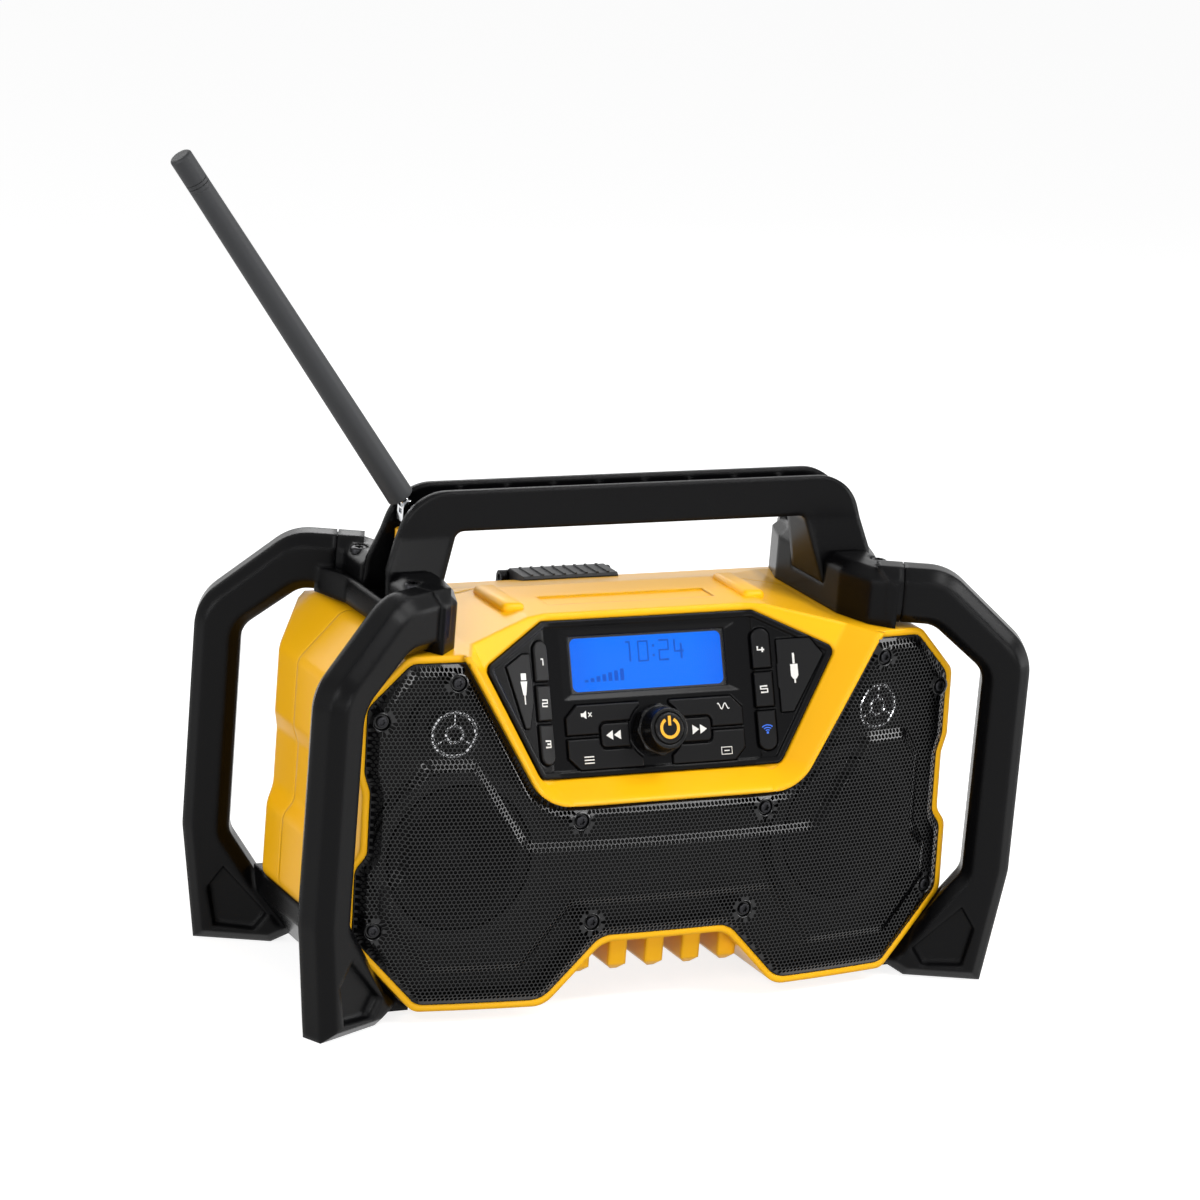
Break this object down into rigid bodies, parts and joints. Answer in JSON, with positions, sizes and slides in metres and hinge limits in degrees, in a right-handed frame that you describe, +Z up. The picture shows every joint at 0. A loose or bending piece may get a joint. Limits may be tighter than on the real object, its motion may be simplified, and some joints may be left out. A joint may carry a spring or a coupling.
{
  "type": "jobsite radio",
  "caption": "Rugged worksite radio with a roll-cage guard frame, carrying handle, folding antenna, leaning control panel, stereo grille and rear battery door.",
  "frame": {"origin": "on the floor, mid-way between the four feet", "axes": "+Z up, the grille and control panel face -Y, +X to the right seen from the front"},
  "size_m": [0.4353, 0.1732, 0.4064],
  "materials": {
    "housing_yellow": "satin, fine moulded grain",
    "frame_black": "satin, moulded",
    "grille_black": "black enamel on perforated steel",
    "panel_black": "half gloss",
    "key_black": "matte with printed legends",
    "knob_black": "satin",
    "lens_clear": "clear",
    "display_blue": "backlit",
    "cover_rubber": "matte",
    "screw_steel": "blackened steel",
    "sheath_rubber": "matte dark grey",
    "antenna_metal": "bright",
    "socket_grey": "satin grey",
    "collar_yellow": "satin",
    "latch_grey": "matte",
    "door_black": "satin",
    "baffle_black": "matte",
    "speaker_steel": "zinc plated",
    "cone_paper": "treated paper",
    "tweeter_grey": "satin",
    "board_green": "solder mask",
    "encoder_steel": "plated",
    "socket_steel": "plated",
    "pin_steel": "bright",
    "terminal_black": "matte with plated blades"
  },
  "bodies": {
    "chassis": {"front_housing": "housing_yellow", "rear_housing": "housing_yellow", "left_guard": "frame_black", "right_guard": "frame_black", "left_hub": "frame_black", "right_hub": "frame_black", "handle": "frame_black", "speaker_grille": "grille_black", "control_panel": "panel_black", "display_lens": "lens_clear", "display_module": "display_blue", "grille_screws": "screw_steel", "hub_screws": "screw_steel", "housing_screws": "screw_steel", "antenna_socket": "socket_grey", "antenna_collar": "collar_yellow", "speaker_baffle": "baffle_black", "left_woofer_frame": "speaker_steel", "right_woofer_frame": "speaker_steel", "left_woofer_cone": "cone_paper", "right_woofer_cone": "cone_paper", "left_tweeter": "tweeter_grey", "right_tweeter": "tweeter_grey", "main_board": "board_green", "encoder": "encoder_steel", "usb_socket": "socket_steel", "aux_socket": "socket_steel", "dc_inlet": "socket_steel", "door_hinge_pin": "pin_steel", "battery_terminals": "terminal_black"},
    "antenna_base": {"antenna_post": "antenna_metal", "antenna_pin": "antenna_metal"},
    "antenna_arm": {"antenna_rod": "antenna_metal", "antenna_sheath": "sheath_rubber", "antenna_tip": "sheath_rubber"},
    "knob": {"tuning_knob": "knob_black"},
    "power": {"power_cap": "knob_black"},
    "usb_flap": {"usb_cover": "cover_rubber"},
    "aux_flap": {"aux_cover": "cover_rubber"},
    "door": {"battery_door": "door_black"},
    "latch": {"door_latch": "latch_grey"},
    "preset_1": {"preset_1_button": "key_black"},
    "preset_2": {"preset_2_button": "key_black"},
    "preset_3": {"preset_3_button": "key_black"},
    "preset_4": {"preset_4_button": "key_black"},
    "preset_5": {"preset_5_button": "key_black"},
    "wireless": {"wireless_button": "key_black"},
    "mute": {"mute_button": "key_black"},
    "menu": {"menu_button": "key_black"},
    "mode": {"mode_button": "key_black"},
    "display": {"display_button": "key_black"},
    "previous": {"previous_button": "key_black"},
    "next": {"next_button": "key_black"}
  },
  "joints": [
    {"name": "antenna_swivel", "type": "hinge", "parent": "chassis", "child": "antenna_base", "pos_m": [-0.116, 0, 0.2], "axis": [0, 0, -1], "range_deg": [0, 50]},
    {"name": "antenna_fold", "type": "hinge", "parent": "antenna_base", "child": "antenna_arm", "pos_m": [-0.116, 0, 0.2346], "axis": [0, -1, 0], "range_deg": [-126.5, 0]},
    {"name": "knob_turn", "type": "hinge", "parent": "chassis", "child": "knob", "pos_m": [0, -0.04978, 0.13221], "axis": [0, -0.933, 0.36], "continuous": true},
    {"name": "power_push", "type": "slide", "parent": "chassis", "child": "power", "axis": [0, 0.933, -0.36], "range_m": [0, 0.001], "stiffness_N_per_m": 800},
    {"name": "preset_1_push", "type": "slide", "parent": "chassis", "child": "preset_1", "axis": [-0.3305, 0.8805, -0.3398], "range_m": [0, 0.001], "stiffness_N_per_m": 800},
    {"name": "preset_2_push", "type": "slide", "parent": "chassis", "child": "preset_2", "axis": [-0.3305, 0.8805, -0.3398], "range_m": [0, 0.001], "stiffness_N_per_m": 800},
    {"name": "preset_3_push", "type": "slide", "parent": "chassis", "child": "preset_3", "axis": [-0.3305, 0.8805, -0.3398], "range_m": [0, 0.001], "stiffness_N_per_m": 800},
    {"name": "preset_4_push", "type": "slide", "parent": "chassis", "child": "preset_4", "axis": [0.3305, 0.8805, -0.3398], "range_m": [0, 0.001], "stiffness_N_per_m": 800},
    {"name": "preset_5_push", "type": "slide", "parent": "chassis", "child": "preset_5", "axis": [0.3305, 0.8805, -0.3398], "range_m": [0, 0.001], "stiffness_N_per_m": 800},
    {"name": "wireless_push", "type": "slide", "parent": "chassis", "child": "wireless", "axis": [0.3305, 0.8805, -0.3398], "range_m": [0, 0.001], "stiffness_N_per_m": 800},
    {"name": "mute_push", "type": "slide", "parent": "chassis", "child": "mute", "axis": [0, 0.933, -0.36], "range_m": [0, 0.001], "stiffness_N_per_m": 800},
    {"name": "menu_push", "type": "slide", "parent": "chassis", "child": "menu", "axis": [0, 0.933, -0.36], "range_m": [0, 0.001], "stiffness_N_per_m": 800},
    {"name": "mode_push", "type": "slide", "parent": "chassis", "child": "mode", "axis": [0, 0.933, -0.36], "range_m": [0, 0.001], "stiffness_N_per_m": 800},
    {"name": "display_push", "type": "slide", "parent": "chassis", "child": "display", "axis": [0, 0.933, -0.36], "range_m": [0, 0.001], "stiffness_N_per_m": 800},
    {"name": "previous_push", "type": "slide", "parent": "chassis", "child": "previous", "axis": [0, 0.933, -0.36], "range_m": [0, 0.001], "stiffness_N_per_m": 800},
    {"name": "next_push", "type": "slide", "parent": "chassis", "child": "next", "axis": [0, 0.933, -0.36], "range_m": [0, 0.001], "stiffness_N_per_m": 800},
    {"name": "usb_cover_hinge", "type": "hinge", "parent": "chassis", "child": "usb_flap", "pos_m": [-0.06618, -0.04627, 0.15443], "axis": [0, 0.36, 0.933], "range_deg": [0, 90]},
    {"name": "aux_cover_hinge", "type": "hinge", "parent": "chassis", "child": "aux_flap", "pos_m": [0.06675, -0.04645, 0.1545], "axis": [0, -0.36, -0.933], "range_deg": [0, 90]},
    {"name": "battery_door_hinge", "type": "hinge", "parent": "chassis", "child": "door", "pos_m": [0, 0.069, 0.054], "axis": [-1, 0, 0], "range_deg": [0, 100]},
    {"name": "door_latch_hinge", "type": "hinge", "parent": "door", "child": "latch", "pos_m": [0, 0.0715, 0.176], "axis": [-1, 0, 0], "range_deg": [0, 35], "stiffness_Nm_per_rad": 0.05, "springref_deg": -11.46}
  ]
}
